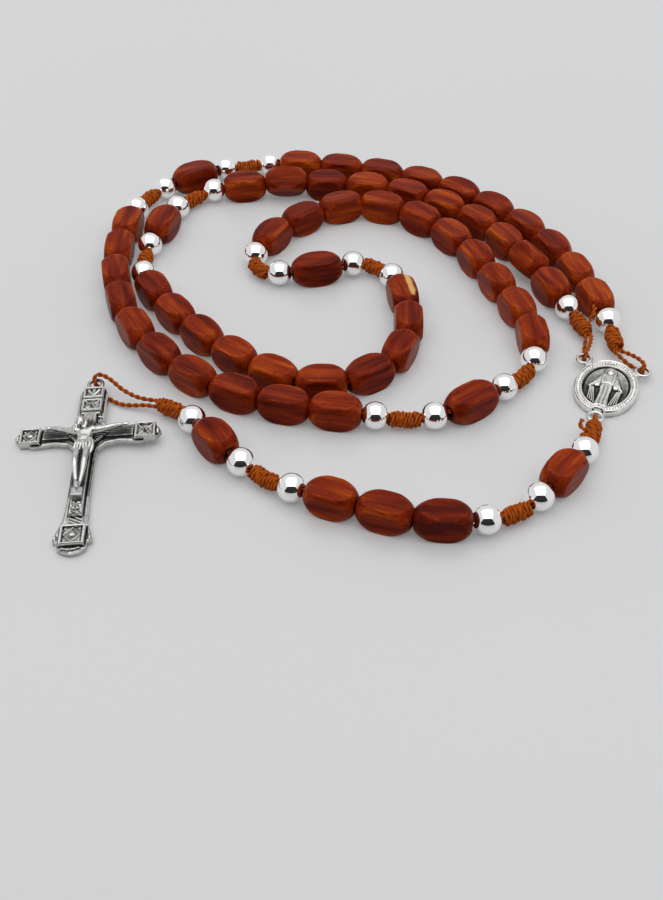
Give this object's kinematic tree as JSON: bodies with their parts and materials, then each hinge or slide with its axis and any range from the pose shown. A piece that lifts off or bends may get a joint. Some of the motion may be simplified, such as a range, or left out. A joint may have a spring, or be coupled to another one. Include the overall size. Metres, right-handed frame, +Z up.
{
  "type": "rosary",
  "caption": "Knotted-cord rosary of wooden barrel beads and silver balls with an oval centre medal and a hinged crucifix, laid out in a flat spiral.",
  "frame": {"origin": "bottom centre of the box round the whole layout, on the surface it lies on", "axes": "+Z up from the surface, +Y from the pendant's side towards the far side of the loop, +X from the crucifix towards the medal"},
  "size_m": [0.1446, 0.1537, 0.0075],
  "materials": {
    "stained_wood": "red-brown stain under a semi-gloss coat",
    "polished_silver": "mirror polished",
    "antiqued_silver": "cast silver tone, darkened in the recesses",
    "twine": "orange-brown two-ply twine"
  },
  "bodies": {
    "loop": {"loop_cord": "twine", "medal_cord_right": "twine", "medal_cord_left": "twine", "decade_1": "stained_wood", "decade_2": "stained_wood", "decade_3": "stained_wood", "decade_4": "stained_wood", "decade_5": "stained_wood", "knot_1": "twine", "knot_2": "twine", "knot_3": "twine", "knot_4": "twine", "knot_5": "twine", "knot_6": "twine", "knot_7": "twine", "knot_8": "twine", "knot_9": "twine", "knot_10": "twine", "silver_ball_first": "polished_silver", "silver_pair_2": "polished_silver", "silver_pair_3": "polished_silver", "silver_pair_4": "polished_silver", "silver_pair_5": "polished_silver", "silver_pair_6": "polished_silver", "silver_pair_7": "polished_silver", "silver_pair_8": "polished_silver", "silver_pair_9": "polished_silver", "silver_ball_last": "polished_silver"},
    "father_bead_1": {"father_bead_1": "stained_wood"},
    "father_bead_2": {"father_bead_2": "stained_wood"},
    "father_bead_3": {"father_bead_3": "stained_wood"},
    "father_bead_4": {"father_bead_4": "stained_wood"},
    "medal": {"medal": "antiqued_silver"},
    "foot_link": {"medal_cord_foot": "twine", "pendant_knot_1": "twine", "pendant_ball_1": "polished_silver"},
    "carrier_1": {"pendant_cord_1": "twine"},
    "link_c": {"pendant_cord_2": "twine", "pendant_ball_2": "polished_silver", "pendant_knot_2": "twine", "pendant_ball_3": "polished_silver"},
    "carrier_2": {"pendant_cord_3": "twine"},
    "link_b": {"pendant_cord_4": "twine", "pendant_ball_4": "polished_silver", "pendant_knot_3": "twine", "pendant_ball_5": "polished_silver"},
    "carrier_3": {"pendant_cord_5": "twine"},
    "link_a": {"pendant_ball_6": "polished_silver", "pendant_knot_4": "twine", "crucifix_cord": "twine"},
    "pendant_bead_1": {"pendant_bead_1": "stained_wood"},
    "pendant_bead_2": {"pendant_bead_2": "stained_wood"},
    "pendant_bead_3": {"pendant_bead_3": "stained_wood"},
    "pendant_bead_4": {"pendant_bead_4": "stained_wood"},
    "pendant_bead_5": {"pendant_bead_5": "stained_wood"},
    "crucifix": {"cross": "antiqued_silver", "corpus": "antiqued_silver"}
  },
  "joints": [
    {"name": "father_bead_1_spin", "type": "hinge", "parent": "loop", "child": "father_bead_1", "pos_m": [-0.04109, 0.0664, 0.00377], "axis": [-0.8437, -0.5368, 0], "continuous": true},
    {"name": "father_bead_2_spin", "type": "hinge", "parent": "loop", "child": "father_bead_2", "pos_m": [0.02901, -0.0325, 0.00377], "axis": [0.8171, 0.5765, 0], "continuous": true},
    {"name": "father_bead_3_spin", "type": "hinge", "parent": "loop", "child": "father_bead_3", "pos_m": [-0.0062, 0.0203, 0.00377], "axis": [0.9711, 0.2388, 0], "continuous": true},
    {"name": "father_bead_4_spin", "type": "hinge", "parent": "loop", "child": "father_bead_4", "pos_m": [-0.04776, 0.04145, 0.00377], "axis": [0.2884, 0.9575, 0], "continuous": true},
    {"name": "medal_lift", "type": "hinge", "parent": "loop", "child": "medal", "pos_m": [0.06435, -0.01573, 0.00175], "axis": [-0.9336, 0.3584, 0], "range_deg": [0, 90]},
    {"name": "foot_swing", "type": "hinge", "parent": "medal", "child": "foot_link", "pos_m": [0.05611, -0.0372, 0.00175], "axis": [-0.9336, 0.3584, 0], "range_deg": [-20, 30]},
    {"name": "carrier_1_sway", "type": "hinge", "parent": "foot_link", "child": "carrier_1", "pos_m": [0.05206, -0.04842, 0.00302], "axis": [0, 0, 1], "range_deg": [0, 20]},
    {"name": "pendant_bead_1_spin", "type": "hinge", "parent": "carrier_1", "child": "pendant_bead_1", "pos_m": [0.0467, -0.05566, 0.00377], "axis": [-0.6472, -0.7623, 0], "continuous": true},
    {"name": "link_c_dip", "type": "hinge", "parent": "carrier_1", "child": "link_c", "pos_m": [0.04077, -0.0625, 0.00302], "axis": [-0.7426, 0.6697, 0], "range_deg": [-20, 30]},
    {"name": "carrier_2_sway", "type": "hinge", "parent": "link_c", "child": "carrier_2", "pos_m": [0.0292, -0.06924, 0.00302], "axis": [0, 0, 1], "range_deg": [0, 20]},
    {"name": "pendant_bead_2_spin", "type": "hinge", "parent": "carrier_2", "child": "pendant_bead_2", "pos_m": [0.02015, -0.06972, 0.00377], "axis": [-0.9987, 0.0513, 0], "continuous": true},
    {"name": "pendant_bead_3_spin", "type": "hinge", "parent": "carrier_2", "child": "pendant_bead_3", "pos_m": [0.00855, -0.06746, 0.00377], "axis": [-0.9448, 0.3278, 0], "continuous": true},
    {"name": "pendant_bead_4_spin", "type": "hinge", "parent": "carrier_2", "child": "pendant_bead_4", "pos_m": [-0.00254, -0.06339, 0.00377], "axis": [-0.9323, 0.3616, 0], "continuous": true},
    {"name": "link_b_dip", "type": "hinge", "parent": "carrier_2", "child": "link_b", "pos_m": [-0.01081, -0.05986, 0.00302], "axis": [0.4479, 0.8941, 0], "range_deg": [-20, 30]},
    {"name": "carrier_3_sway", "type": "hinge", "parent": "link_b", "child": "carrier_3", "pos_m": [-0.02183, -0.05198, 0.00302], "axis": [0, 0, 1], "range_deg": [-8, 20]},
    {"name": "pendant_bead_5_spin", "type": "hinge", "parent": "carrier_3", "child": "pendant_bead_5", "pos_m": [-0.02781, -0.04525, 0.00377], "axis": [-0.616, 0.7877, 0], "continuous": true},
    {"name": "link_a_dip", "type": "hinge", "parent": "carrier_3", "child": "link_a", "pos_m": [-0.03336, -0.0381, 0.00302], "axis": [0.7926, 0.6097, 0], "range_deg": [-20, 30]},
    {"name": "crucifix_lift", "type": "hinge", "parent": "link_a", "child": "crucifix", "pos_m": [-0.05675, -0.0233, 0.00225], "axis": [-0.998, -0.0349, -0.0523], "range_deg": [0, 40]}
  ]
}
